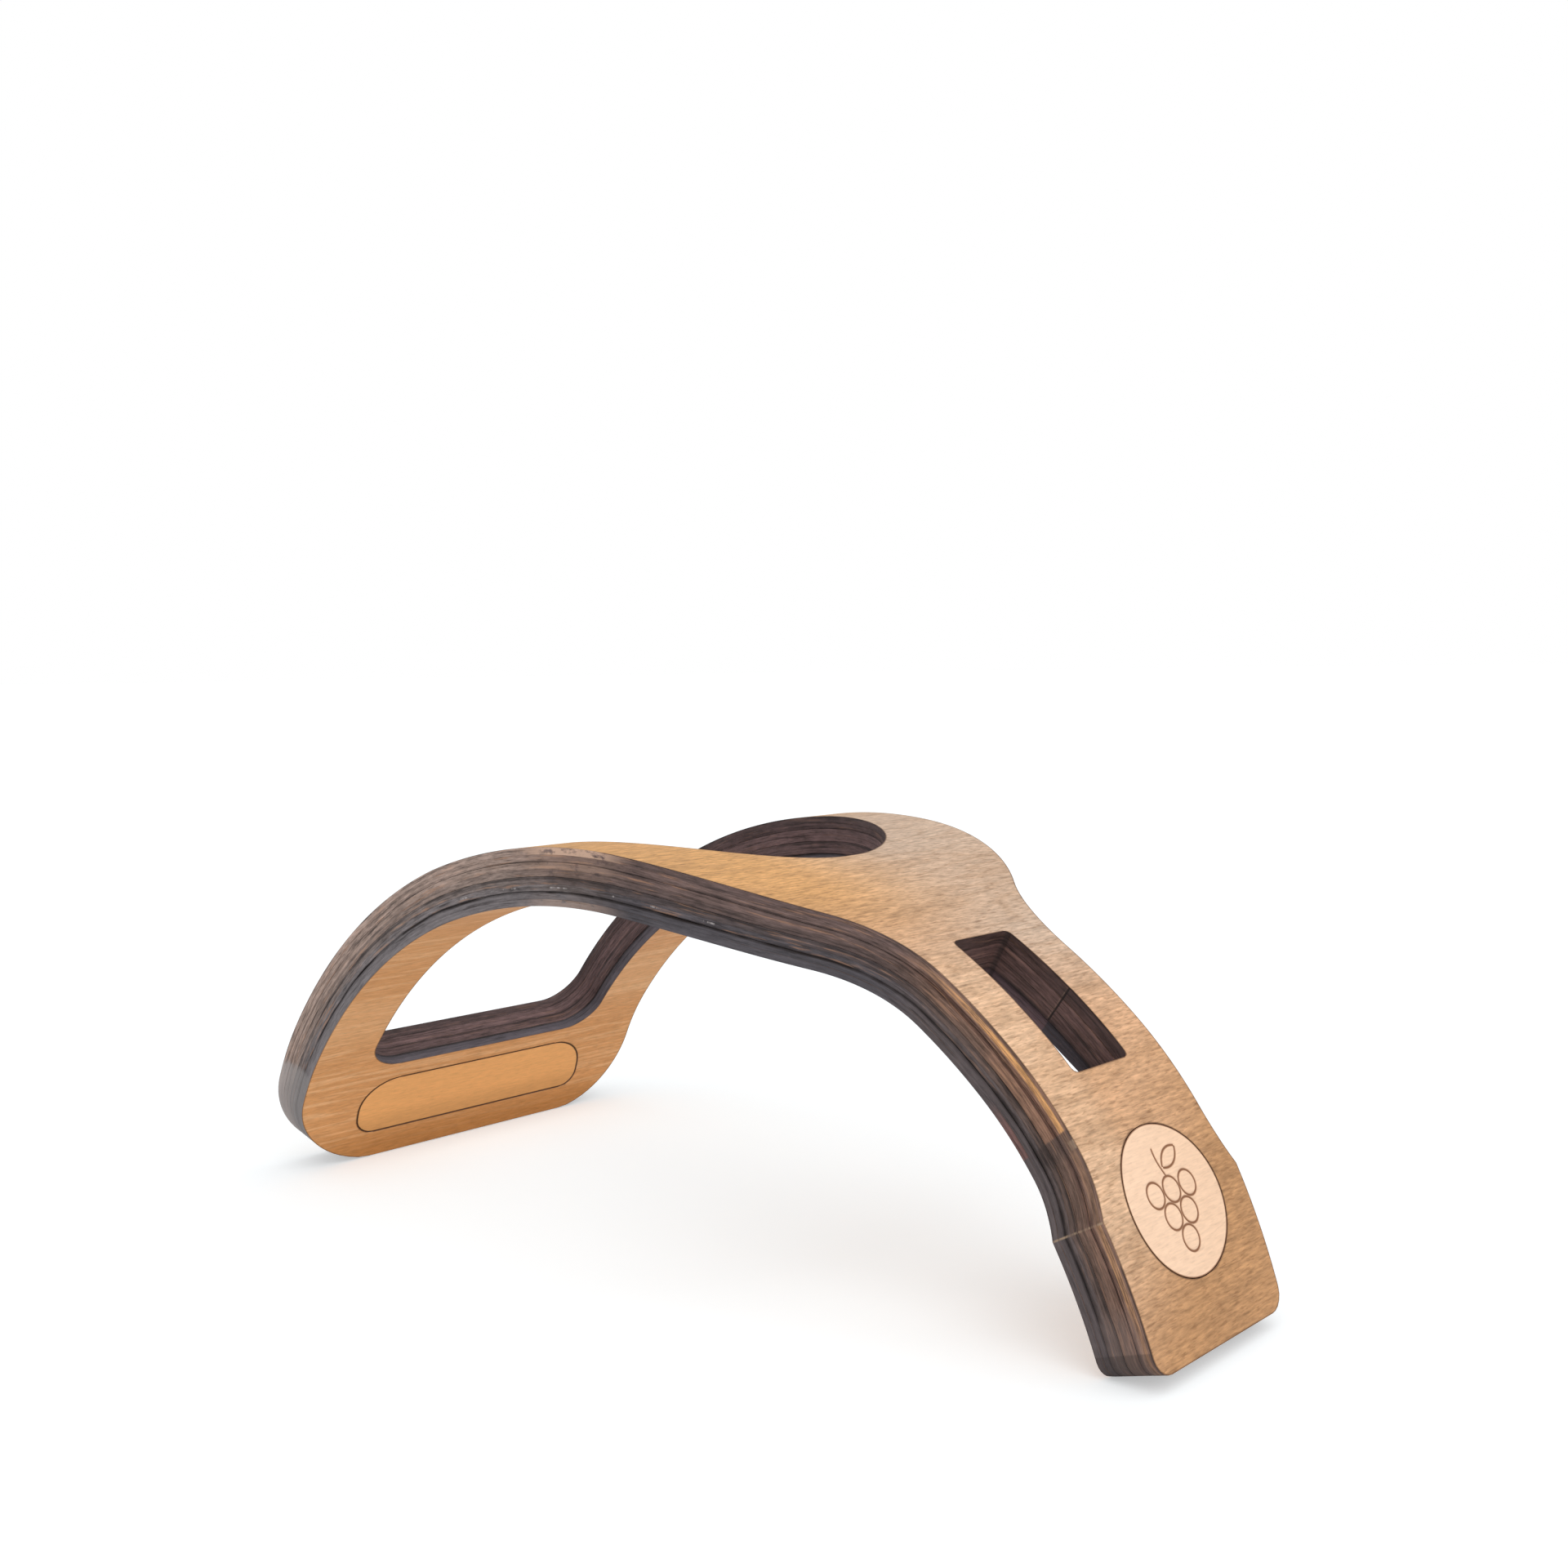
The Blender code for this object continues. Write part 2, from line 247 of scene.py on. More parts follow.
class Shell:
    """Collects faces of one layer in flat coordinates, then bends them into a mesh."""

    def __init__(self):
        self.points = []
        self.rims = []
        self.faces = []
        self.walls = []
        self.count = 0

    def grid(self, flat, rim, wall, flip):
        """Add a grid of points, with their distance from the rim and the kind of surface."""
        rows, columns = flat.shape[:2]
        number = np.arange(rows * columns).reshape(rows, columns) + self.count
        corners = [number[:-1, :-1], number[1:, :-1], number[1:, 1:], number[:-1, 1:]]
        quads = np.stack(corners, -1).reshape(-1, 4)
        self.faces.append(quads[:, ::-1] if flip else quads)
        self.walls.append(np.full(len(quads), float(wall)))
        self.points.append(flat.reshape(-1, 3))
        self.rims.append(np.broadcast_to(rim, (rows, columns)).reshape(-1))
        self.count += rows * columns

    def build(self, name):
        flat = np.concatenate(self.points)
        mesh = bpy.data.meshes.new(name)
        mesh.from_pydata(bend(flat).tolist(), [], np.concatenate(self.faces).tolist())
        mesh.attributes.new("flat", "FLOAT_VECTOR", "POINT").data.foreach_set("vector", flat.ravel())
        mesh.attributes.new("rim", "FLOAT", "POINT").data.foreach_set("value", np.concatenate(self.rims))
        mesh.attributes.new("wall", "FLOAT", "FACE").data.foreach_set("value", np.concatenate(self.walls))
        solid = bmesh.new()
        solid.from_mesh(mesh)
        bmesh.ops.remove_doubles(solid, verts=solid.verts, dist=WELD)
        bmesh.ops.dissolve_degenerate(solid, edges=solid.edges, dist=SLIVER)
        solid.to_mesh(mesh)
        solid.free()
        mesh.shade_smooth()
        mesh.set_sharp_from_angle(angle=CRISP)
        return new_object(name, mesh)


# Step along the run for measuring a slope, and the slope from which a wall counts as straight across
NUDGE = 0.002
STEEP = 15.0

# How an inset wavers along an edge: its mean, its swing, how far it slants across the sheet,
# and the rate and share of the phase of each wave
WAVER_MEAN = 0.6
WAVER_SWING = 0.2
WAVER_SLANT = 0.8
WAVES = ((0.21, 1.0), (0.063, 2.1))


class Line:
    """Side of a strip of wood: a half width along the run, on one side of the sheet's middle."""

    def __init__(self, u, half, sign, out, wall, phase):
        """The wall is FACE where the wood goes on beyond the line; out tells on which side the wood ends."""
        slope = (half(u + NUDGE) - half(u - NUDGE)) / (2 * NUDGE)
        self.is_edge = wall != FACE
        drawn = (np.abs(slope) < STEEP) & self.is_edge
        self.y = sign * half(u)
        self.out = np.where(drawn, out / np.hypot(1.0, slope), 0.0)
        self.wall = wall
        place = u + WAVER_SLANT * self.y
        waves = sum(np.sin(rate * place + share * phase) for rate, share in WAVES)
        self.waver = WAVER_MEAN + WAVER_SWING * waves

    def drawn_in(self, inset):
        """The line moved into the wood by an inset that wavers along it."""
        return self.y - self.out * self.waver * inset


# Columns of points across a face that shows: at these distances from a rim, which take up no more than
# a share of the width on either side, then evenly between them, or evenly all over away from a rim
RIM_COLUMNS = np.array([[0.0, 0.12, 0.3, 0.6, 1.2, 2.4]])
RIM_SHARE = 0.4
PLAIN_COLUMNS = 7
MIDDLE_COLUMNS = 9
LEAST_SPAN = 1e-6


def rim_shares(span):
    """Places across a strip as shares of its width, dense near both sides."""
    near = np.minimum(RIM_COLUMNS, span * RIM_SHARE * RIM_COLUMNS / RIM_COLUMNS[0, -1])
    middle = np.linspace(0, 1, PLAIN_COLUMNS)[None, 1:-1] * (span - 2 * near[:, -1:]) + near[:, -1:]
    return np.concatenate([near, middle, span - near[:, ::-1]], 1) / span


class Strip:
    """Strip of wood between two lines, with columns of points across it."""

    def __init__(self, low, high, dense):
        self.lines = (low, high)
        span = np.maximum(high.y - low.y, LEAST_SPAN)[:, None]
        if not dense:
            share = np.array([[0.0, 1.0]])
        elif low.is_edge or high.is_edge:
            share = rim_shares(span)
        else:
            share = np.linspace(0, 1, MIDDLE_COLUMNS)[None, :]
        self.share = np.broadcast_to(share, (len(span), share.shape[1]))

    def across(self, inset):
        low, high = (line.drawn_in(inset)[:, None] for line in self.lines)
        return low + self.share * (high - low)


def edge_rows(top, bottom, shown, ease, sunk):
    """Rows (height, inset) up a veneer's edge: crisp at a face that shows, eased towards a glue line."""
    high_ease, low_ease = ease
    return [
        (bottom, 0.0 if "bottom" in shown else sunk + low_ease),
        (bottom + low_ease, sunk),
        (top - high_ease, sunk),
        (top, 0.0 if "top" in shown else sunk + high_ease),
    ]


def at_height(u, y, height):
    return np.stack([np.broadcast_to(u, y.shape), y, np.full(y.shape, height)], -1)


# A distance beyond all others
FAR = 99.0


def rim_distance(u, y, lines, ends):
    """Distance to the nearest edge on a face that shows."""
    rim = np.full(y.shape, FAR)
    for line in lines:
        if line.is_edge:
            rim = np.minimum(rim, np.abs((y - line.y[:, None]) * line.out[:, None]))
    for place, reach in ends:
        rim = np.minimum(rim, np.hypot(u[:, None] - place, np.maximum(np.abs(y) - reach, 0.0)))
    return rim


def add_strip(shell, u, strip, rows, shown, ends):
    """Walls along a strip's sides, and its upper and lower face."""
    for line, flip in zip(strip.lines, (False, True)):
        if line.is_edge:
            edge = [at_height(u, line.drawn_in(inset), height) for height, inset in rows]
            shell.grid(np.stack(edge, 1), 0.0, line.wall, flip)
    for face, (height, inset) in (("bottom", rows[0]), ("top", rows[-1])):
        y = strip.across(inset)
        rim = rim_distance(u, y, strip.lines, ends) if face in shown else 0.0
        shell.grid(at_height(u[:, None], y, height), rim, FACE, face == "bottom")


def add_end(shell, u, strip, rows, index, wall):
    """Wall straight across the first or the last row of a strip."""
    edge = [at_height(u[index], strip.across(inset)[index], height) for height, inset in rows]
    shell.grid(np.stack(edge, 1), 0.0, wall, index == 0)


# Where a layer ends, its middle strip takes this share of the width;
# an opening that is wider than the least reach where it ends has a wall straight across
SEAM_SHARE = 0.6
LEAST_REACH = 0.5


def ends_and_seams(limits, half, features):
    """Straight ends (run, half width) of a layer and its openings, and half widths of its middle strip."""

    def reach_at(place, width):
        return float(width(np.array([place]))[0])

    ends = [(place, reach_at(place, half)) for place in limits]
    seams = {place: SEAM_SHARE * reach for place, reach in ends}
    for start, stop, width in features:
        for place in (start, stop):
            seams[place] = reach_at(place, width)
            if seams[place] > LEAST_REACH:
                ends.append((place, seams[place]))
    return ends, seams


# Rows of points along a stretch: their mean distance, and the least number of steps
ROW_STEP = 1.1
LEAST_STEPS = 10


def rows_along(first, last):
    """Places along a stretch, closer together towards its ends."""
    steps = max(LEAST_STEPS, math.ceil((last - first) / ROW_STEP))
    return first + (last - first) * (1 - np.cos(np.pi * np.arange(steps + 1) / steps)) / 2


# How far arrises are eased at the glue joints
EASE = 0.05


def layer(name, top, bottom, limits, half, features=(), shown=(), ease=(EASE, EASE), sunk=0.0, breaks=()):
    """One layer of the sheet between two heights, with openings cut through it."""
    shell = Shell()
    phase = 1.0 - top
    rows = edge_rows(top, bottom, shown, ease, sunk)
    ends, seams = ends_and_seams(limits, half, features)
    seam_places = sorted(seams)
    seam_reaches = [seams[place] for place in seam_places]

    def seam(u):
        """Half width of the middle strip where no opening is cut."""
        return np.interp(u, seam_places, seam_reaches)

    places = sorted({*seams, *breaks})
    for first, last in zip(places[:-1], places[1:]):
        u = rows_along(first, last)
        openings = [width for start, stop, width in features if start <= (first + last) / 2 <= stop]
        inner, wall = (openings[0], OPENING_EDGE) if openings else (seam, FACE)
        left = Line(u, half, -1, -1, OUTER_EDGE, phase), Line(u, inner, -1, 1, wall, phase)
        right = Line(u, inner, 1, -1, wall, phase), Line(u, half, 1, 1, OUTER_EDGE, phase)
        strips = [Strip(*left, shown), Strip(*right, shown)]
        if not openings:
            middle = Strip(left[1], right[0], shown)
            strips.append(middle)
            for index, place in ((0, first), (-1, last)):
                if place in limits:
                    for strip in strips:
                        add_end(shell, u, strip, rows, index, OUTER_EDGE)
                elif seams.get(place, 0.0) > LEAST_REACH:
                    add_end(shell, u, middle, rows, index, OPENING_EDGE)
        for strip in strips:
            add_strip(shell, u, strip, rows, shown, ends)
    return shell.build(name)


# How far each veneer's edge is sunk, from the outer face inwards, and how far the joint
# between the outer and the inner veneers is eased
SUNK = (0.0, 0.06, 0.03, 0.08, 0.04, 0.05, 0.06, 0.0)
LAMINATION_EASE = 0.28

# Veneers come in sheets of two; inside a sheet the glue joint is all but closed
SHEET_VENEERS = 2
CLOSED_GAP = 0.01


def veneer(number):
    """One veneer of the sheet with its openings; the outermost and the innermost show a face."""
    openings = [(HOLE_START, HOLE_END, hole_half)]
    if number <= OUTER_VENEERS:
        openings.append(slot(0.0, BUTT_STEP, 0.0))
    else:
        openings.append(slot(LEDGE, 0.0, LOW_LEDGE))
    if number <= INLAY_VENEERS:
        openings.append(disc_pocket(KERF))
    if number > VENEERS - INLAY_VENEERS:
        openings.append(plaque_shape(KERF))
    top = -(number - 1) * PITCH
    closed_below = number % SHEET_VENEERS != 0
    high_ease = LAMINATION_EASE if number == OUTER_VENEERS + 1 else EASE
    low_ease = LAMINATION_EASE if number == OUTER_VENEERS else EASE
    return layer(
        f"veneer_{number}_dressed",
        top,
        top - (PITCH - CLOSED_GAP if closed_below else PLY),
        (LEFT_END, RIGHT_END),
        sheet_half,
        openings,
        shown={1: ("top",), VENEERS: ("bottom",)}.get(number, ()),
        ease=(high_ease, low_ease),
        sunk=SUNK[number - 1],
        breaks=(TAPER_START, BUTT_U, TAB_U),
    )


def plaque():
    """Plaque let into the inner face of the wide foot."""
    start, stop, half = plaque_shape(0.0)
    return layer("plaque_dressed", INLAY - THICKNESS, -THICKNESS, (start, stop), half, shown=("bottom",))


# Engraving on the disc: a bunch of grapes with a stem and a leaf, millimetres from the disc's centre
GRAPE_R = 2.7
GRAPE_PITCH = 5.9
GRAPE_ROWS = (3, 2, 1)
GRAPE_TOP = 2.0
STEM_BOTTOM = 4.9
STEM_LENGTH = 5.8
STEM_SWAY = 0.9
STEM_BEND = 2.2
LEAF_CENTRE = Vector((3.6, 8.2))
LEAF_OFFSET = Vector((1.5, -3.2))
LEAF_R = 5.2


def engraving(p, q):
    """Distance to the engraved lines; p points across the leg and q up it."""
    best = np.full(p.shape, FAR)
    for row, count in enumerate(GRAPE_ROWS):
        for place in range(count):
            centre_p = (place - (count - 1) / 2) * GRAPE_PITCH
            centre_q = GRAPE_TOP - row * GRAPE_PITCH * math.sqrt(3) / 2
            best = np.minimum(best, np.abs(np.hypot(p - centre_p, q - centre_q) - GRAPE_R))
    share = np.clip((q - STEM_BOTTOM) / STEM_LENGTH, 0, 1)
    off_stem = p + STEM_SWAY * np.sin(STEM_BEND * share)
    best = np.minimum(best, np.hypot(off_stem, q - STEM_BOTTOM - STEM_LENGTH * share))
    sides = [LEAF_CENTRE + LEAF_OFFSET, LEAF_CENTRE - LEAF_OFFSET]
    for near, far in (sides, reversed(sides)):
        inside = np.hypot(p - far.x, q - far.y) <= LEAF_R
        off_leaf = np.abs(np.hypot(p - near.x, q - near.y) - LEAF_R)
        best = np.minimum(best, np.where(inside, off_leaf, FAR))
    return best


# Grooves of the engraving: half width at the top and width of the slope as shares of the line, and depth
LINE_WIDTH = 0.6
LINE_DEPTH = 0.25
GROOVE_HALF = 0.85
GROOVE_SLOPE = 0.6

# Points of the disc's mesh, and the distance from the rim that its outermost ring counts as
DISC_RINGS = 96
DISC_TURNS = 400
RIM_START = 0.05


def engraved_disc():
    """Disc let into the outer face of the leg, with grooves along the engraving."""
    radius = DISC_R * np.linspace(0, 1, DISC_RINGS + 1)[:, None]
    angle = np.linspace(0, 2 * np.pi, DISC_TURNS + 1)[None, :]
    p = radius * np.sin(angle)
    q = radius * np.cos(angle)
    line = engraving(p, q)
    groove = np.clip((GROOVE_HALF * LINE_WIDTH - line) / (GROOVE_SLOPE * LINE_WIDTH), 0, 1)
    top = np.stack([DISC_U - q, p, -LINE_DEPTH * groove], -1)
    bottom = np.stack([DISC_U - q, p, np.full(p.shape, -INLAY)], -1)
    shell = Shell()
    shell.grid(top, np.minimum(DISC_R - radius + RIM_START, line), FACE, True)
    shell.grid(bottom[[0, -1]], FAR, OUTER_EDGE, False)
    shell.grid(np.stack([top[-1], bottom[-1]], 0), 0.0, OUTER_EDGE, True)
    return shell.build("disc_dressed")


# Colour sockets of a mix node, and the least level to which noises darken a colour
FIRST_COLOUR = 6
SECOND_COLOUR = 7
MIXED_COLOUR = 2
LEAST_LEVEL = 0.15


class Graph:
    """Small helper for building a node material."""

    def __init__(self, name):
        self.material = bpy.data.materials.new(name)
        self.material.use_nodes = True
        self.nodes = self.material.node_tree.nodes
        self.links = self.material.node_tree.links
        self.shader = self.nodes["Principled BSDF"]

    def put(self, socket, value):
        if isinstance(value, bpy.types.NodeSocket):
            self.links.new(value, socket)
        else:
            socket.default_value = value

    def fill(self, node, **inputs):
        for name, value in inputs.items():
            self.put(node.inputs[name.replace("_", " ")], value)

    def add(self, kind, **inputs):
        node = self.nodes.new("ShaderNode" + kind)
        self.fill(node, **inputs)
        return node

    def attribute(self, name, output):
        node = self.add("Attribute")
        node.attribute_name = name
        return node.outputs[output]

    def axes(self, vector):
        return self.add("SeparateXYZ", Vector=vector).outputs

    def math(self, operation, *values, clamp=False):
        node = self.add("Math")
        node.operation = operation
        node.use_clamp = clamp
        for socket, value in zip(node.inputs, values):
            self.put(socket, value)
        return node.outputs[0]

    def noise(self, vector, scale, shift=(0, 0, 0), detail=3.0, roughness=0.55, distortion=0.0):
        """Noise over a vector that is scaled along each axis, then shifted so that no two noises agree."""
        place = self.add("Mapping", Vector=vector, Scale=scale, Location=shift)
        node = self.add("TexNoise", Vector=place.outputs[0], Scale=1.0)
        self.fill(node, Detail=detail, Roughness=roughness, Distortion=distortion)
        return node.outputs["Fac"]

    def between(self, value, low, high, to_low=0.0, to_high=1.0):
        """Smooth step from to_low at low to to_high at high; low may be the larger one.

        Fades below are written as these two places, or values of a noise, and the amount at each.
        """
        node = self.add("MapRange")
        node.interpolation_type = "SMOOTHSTEP"
        for socket, item in zip(node.inputs, (value, low, high, to_low, to_high)):
            self.put(socket, item)
        return node.outputs[0]

    def within(self, value, low, high, soft):
        """One from low to high, fading to zero over a distance beyond either end."""
        return self.product(self.between(value, low - soft, low), self.between(value, high + soft, high))

    def product(self, *factors):
        out = factors[0]
        for factor in factors[1:]:
            out = self.math("MULTIPLY", out, factor)
        return out

    def away(self, value, place):
        return self.math("ABSOLUTE", self.math("SUBTRACT", value, place))

    def line_at(self, value, place, near, far, amount):
        """An amount at a place, fading to zero between two distances from it."""
        return self.between(self.away(value, place), near, far, amount, 0.0)

    def mix(self, factor, first, second):
        node = self.add("Mix")
        node.data_type = "RGBA"
        self.put(node.inputs["Factor"], factor)
        self.put(node.inputs[FIRST_COLOUR], first)
        self.put(node.inputs[SECOND_COLOUR], second)
        return node.outputs[MIXED_COLOUR]

    def shade(self, colour, *parts):
        """Colour made lighter and darker by noises (noise, amount), each around its mean of one half."""
        level = 1 - sum(amount for _, amount in parts) / 2
        for noise, amount in parts:
            level = self.math("MULTIPLY_ADD", noise, amount, level)
        level = self.math("MAXIMUM", level, LEAST_LEVEL)
        node = self.add("VectorMath")
        node.operation = "SCALE"
        self.fill(node, Vector=colour, Scale=level)
        return node.outputs[0]

    def bump(self, height, distance):
        return self.add("Bump", Height=height, Distance=distance).outputs[0]


def tone(colour, level=1.0):
    """Display colour, 0 to 255, as a shader colour, by the curve of the sRGB standard."""
    out = []
    for value in colour:
        share = min(255.0, value * level) / 255
        out.append(share / 12.92 if share <= 0.04045 else ((share + 0.055) / 1.055) ** 2.4)
    return (*out, 1.0)


# Figure of the face veneers: how fine each noise is along the run, across and through the sheet,
# how much it shades the wood, and the colour of the pores
CLOUD_SCALE = (0.030, 0.016, 0.0)
CLOUD_AMOUNT = 0.35
STREAK_SCALE = (0.55, 0.035, 0.0)
STREAK_AMOUNT = 0.42
FIBRE_SCALE = (1.5, 0.17, 0.0)
FIBRE_AMOUNT = 0.95
FIBRE_WAVE = 0.4
FLECK_SCALE = (1.7, 0.34, 0.0)
FLECK_AMOUNT = 0.70
PORE_SCALE = (2.2, 0.30, 0.0)
PORE_RANGE = (0.54, 0.68)
PORE_AMOUNT = 0.36
PORE = (132, 90, 56)


def wood_figure(g, flat, colour, contrast, wave):
    """Fine figure of a veneer whose grain runs across the sheet: streaks, pale flecks and dark pores."""
    cloud = g.noise(flat, CLOUD_SCALE, detail=2.0)
    streak = g.noise(flat, STREAK_SCALE, distortion=wave)
    fibre = g.noise(flat, FIBRE_SCALE, (4.0, 9.0, 0.0), roughness=0.6, distortion=FIBRE_WAVE * wave)
    fleck = g.noise(flat, FLECK_SCALE, (7.0, 3.0, 0.0), detail=2.0)
    pore = g.noise(flat, PORE_SCALE, (1.0, 5.0, 0.0), detail=2.0)
    figure = [(cloud, CLOUD_AMOUNT), (streak, STREAK_AMOUNT), (fibre, FIBRE_AMOUNT), (fleck, FLECK_AMOUNT)]
    colour = g.shade(colour, *[(noise, amount * contrast) for noise, amount in figure])
    pores = g.between(pore, *PORE_RANGE, 0.0, PORE_AMOUNT * contrast)
    return g.mix(pores, colour, tone(PORE)), fibre


# Outer face: warm near the crown, deeper in two bands across the leg and at the foot, by the run
WARM = (219, 166, 107)
LEG = (214, 169, 131)
DEEP = (189, 142, 98)
WARM_TO_LEG = (50, 80)
DEEP_BANDS = ((48, 66, 14), (119, 130, 6))
DEEP_BAND_AMOUNT = 0.2
DEEP_FOOT = (126, 168)
DEEP_FOOT_SLANT = 0.9
GROWTH_SCALE = (0.045, 0.008, 0.0)
GROWTH_RINGS = 12.0
RING_FADE = (0.02, 0.20, 0.22, 0.0)
RING_LEVEL = 0.86
OUTER_CONTRAST = 1.15
OUTER_WAVE = 0.15

# Areas that are paler or greyer: tone, where they fade in across the sheet, and in and out along the run;
# the grey on the far shoulder is a painted sheen over painted shade
NEAR_SIDE_OF_LEG = ((221, 182, 147), (-4, -15), (66, 96), (172, 148))
# Painted sheen of a grazing reflection, over painted shade, greying the far shoulder
FAR_SHOULDER_SHEEN = ((210, 182, 158), (-30, 20), (-45, 12), (112, 78))


def outer_face(g, flat):
    run, across, _ = g.axes(flat)
    colour = g.mix(g.between(run, *WARM_TO_LEG), tone(WARM), tone(LEG))
    # Paler near side of the leg, and painted sheen and shade on the far shoulder
    for area_tone, sideways, start, stop in (NEAR_SIDE_OF_LEG, FAR_SHOULDER_SHEEN):
        area = g.product(g.between(across, *sideways), g.between(run, *start), g.between(run, *stop))
        colour = g.mix(area, colour, tone(area_tone))
    for band in DEEP_BANDS:
        colour = g.mix(g.product(g.within(run, *band), DEEP_BAND_AMOUNT), colour, tone(DEEP))
    slant = g.math("MULTIPLY_ADD", across, DEEP_FOOT_SLANT, run)
    colour = g.mix(g.between(slant, *DEEP_FOOT), colour, tone(DEEP))
    growth = g.noise(flat, GROWTH_SCALE, (2.0, 0.0, 0.0), detail=2.5)
    ring = g.math("PINGPONG", g.math("MULTIPLY", growth, GROWTH_RINGS), 0.5)
    colour = g.mix(g.between(ring, *RING_FADE), colour, tone(DEEP, RING_LEVEL))
    return wood_figure(g, flat, colour, OUTER_CONTRAST, OUTER_WAVE)


# Inner face: orange brown with wavy pale streaks, paler beside the hole's lower end, darker along the foot
INNER = (220, 160, 103)
INNER_PALE = (240, 190, 138)
INNER_DEEP = (188, 129, 69)
WAVY_SCALE = (0.60, 0.030, 0.0)
WAVY_FADE = (0.46, 0.66, 0.0, 0.65)
PALE_BAND = (-126, -114, 12)
PALE_BAND_AMOUNT = 0.4
DEEP_EDGE = (LEFT_END + 14, LEFT_END + 3, 0.0, 0.8)
INNER_CONTRAST = 0.5
INNER_WAVE = 0.5


def inner_face(g, flat):
    run, _, _ = g.axes(flat)
    wavy = g.noise(flat, WAVY_SCALE, (3.0, 1.0, 0.0), detail=2.0, distortion=0.9)
    colour = g.mix(g.between(wavy, *WAVY_FADE), tone(INNER), tone(INNER_PALE))
    colour = g.mix(g.product(g.within(run, *PALE_BAND), PALE_BAND_AMOUNT), colour, tone(INNER_PALE))
    colour = g.mix(g.between(run, *DEEP_EDGE), colour, tone(INNER_DEEP))
    return wood_figure(g, flat, colour, INNER_CONTRAST, INNER_WAVE)


# Edges: charred brown outside turning to slate inside, each in three stretches: ring, hip and leg;
# veneers 1 to 5 turn from the ring's tone to the hip's earlier than veneers 6 to 8
BROWN = ((154, 133, 122), (106, 87, 82), (132, 103, 88))
SLATE = ((114, 108, 109), (80, 76, 80), (90, 81, 81))
EARLY_RING_TO_HIP = (-26, 2)
LATE_RING_TO_HIP = (-4, 14)
HIP_TO_LEG = (70, 92)

# From the outer face inwards: how slate and how light each veneer's edge is
SLATE_SHARE = (0.0, 0.0, 0.0, 0.1, 0.5, 0.9, 1.0, 1.0)
EDGE_LEVEL = (1.10, 1.06, 1.01, 0.94, 0.92, 1.02, 1.04, 1.06)


def stretch_tone(g, run, number):
    """Charred tone of one veneer's edge in its three stretches."""
    tones = []
    for brown, slate in zip(BROWN, SLATE):
        blend = [b + (s - b) * SLATE_SHARE[number - 1] for b, s in zip(brown, slate)]
        tones.append(tone(blend, EDGE_LEVEL[number - 1]))
    ring_to_hip = LATE_RING_TO_HIP if number >= OUTER_VENEERS else EARLY_RING_TO_HIP
    colour = g.mix(g.between(run, *ring_to_hip), tones[0], tones[1])
    return g.mix(g.between(run, *HIP_TO_LEG), colour, tones[2])


# Edges in the openings, with their level for each veneer; in the slot the slate below the butt joint is
# darker, the slate's own tone with painted shade of the recess under the ledge
HOLE_BROWN = (88, 69, 68)
HOLE_SLATE = (92, 85, 91)
SLOT_BROWN = (94, 72, 68)
# Slate below the slot's butt joint, darkened by painted shade
SLOT_SLATE_IN_SHADE = (70, 63, 68)
SLOT_SLATE_HIGH = (98, 78, 82)
OPENING_LEVEL = (0.88, 0.94, 1.12, 1.16, 1.06, 1.02, 0.90, 1.0)
BUTT_SOFT = 0.2


def opening_tone(g, run, number):
    """Charred tone of one veneer's edge in the bottle hole and in the slot."""
    level = OPENING_LEVEL[number - 1]
    if number <= OUTER_VENEERS:
        in_hole = tone(HOLE_BROWN, level)
        in_slot = tone(SLOT_BROWN, level)
    else:
        in_hole = tone(HOLE_SLATE, level)
        # Below the butt joint the slate turns darker: painted shade under the ledge
        shade_below_butt = g.between(run, BUTT_U - BUTT_SOFT, BUTT_U + BUTT_SOFT)
        in_slot = g.mix(shade_below_butt, tone(SLOT_SLATE_HIGH, level), tone(SLOT_SLATE_IN_SHADE, level))
    return g.mix(g.between(run, HOLE_END, SLOT_START), in_hole, in_slot)


# Bare wood along the leg's outer arris: by the run, by the height over the outer face, in patches and lines,
# and with a share of it left on the scorched flare and on the tab
GOLDEN = (240, 178, 114)
BARE_FROM = (76, 108)
BARE_ON_FLARE = 0.25
BARE_ON_TAB = 0.6
BARE_TO = (163, 171, 1.0, 0.45)
BARE_HEIGHT = (-1.9, -1.1, 0.5)
BARE_RANGE = (0.34, 0.54)
BARE_FULLEST = (108, 126, 8)
BARE_FULLER_BY = 0.12
BARE_LINE_SCALE = (0.02, 0.02, 4.5)
BARE_LINE_FADE = (0.36, 0.52, 0.35, 1.0)

# Half length of a sharp change along the run
STEP_SOFT = 0.3


def bare_arris(g, flat, colour, patchy, above_scorch):
    """Bare wood left uncharred along the outer arris of the leg."""
    run, _, height = g.axes(flat)
    past_scorch = g.between(run, TAB_U - STEP_SOFT, TAB_U + STEP_SOFT, BARE_ON_FLARE, BARE_ON_TAB)
    left_bare = g.math("MAXIMUM", above_scorch, past_scorch)
    along = g.product(g.between(run, *BARE_FROM), left_bare, g.between(run, *BARE_TO))
    fuller = g.math("MULTIPLY_ADD", g.within(run, *BARE_FULLEST), BARE_FULLER_BY, patchy)
    lines = g.noise(flat, BARE_LINE_SCALE, (6.0, 1.0, 0.0), roughness=0.6)
    cover = g.product(g.between(fuller, *BARE_RANGE), g.between(lines, *BARE_LINE_FADE))
    bare = g.product(g.within(height, *BARE_HEIGHT), along, cover)
    return g.mix(bare, colour, tone(GOLDEN))


# Scorched flare of the leg, which fades a little below its upper end and again where the tab begins
SCORCHED = (84, 70, 65)
SCORCH_U = 129.0
SCORCH_AMOUNT = 0.65
SCORCH_FADE = (132.5, 134.5, 1.0, 0.55)
SCORCH_TAB_SHARE = 0.35


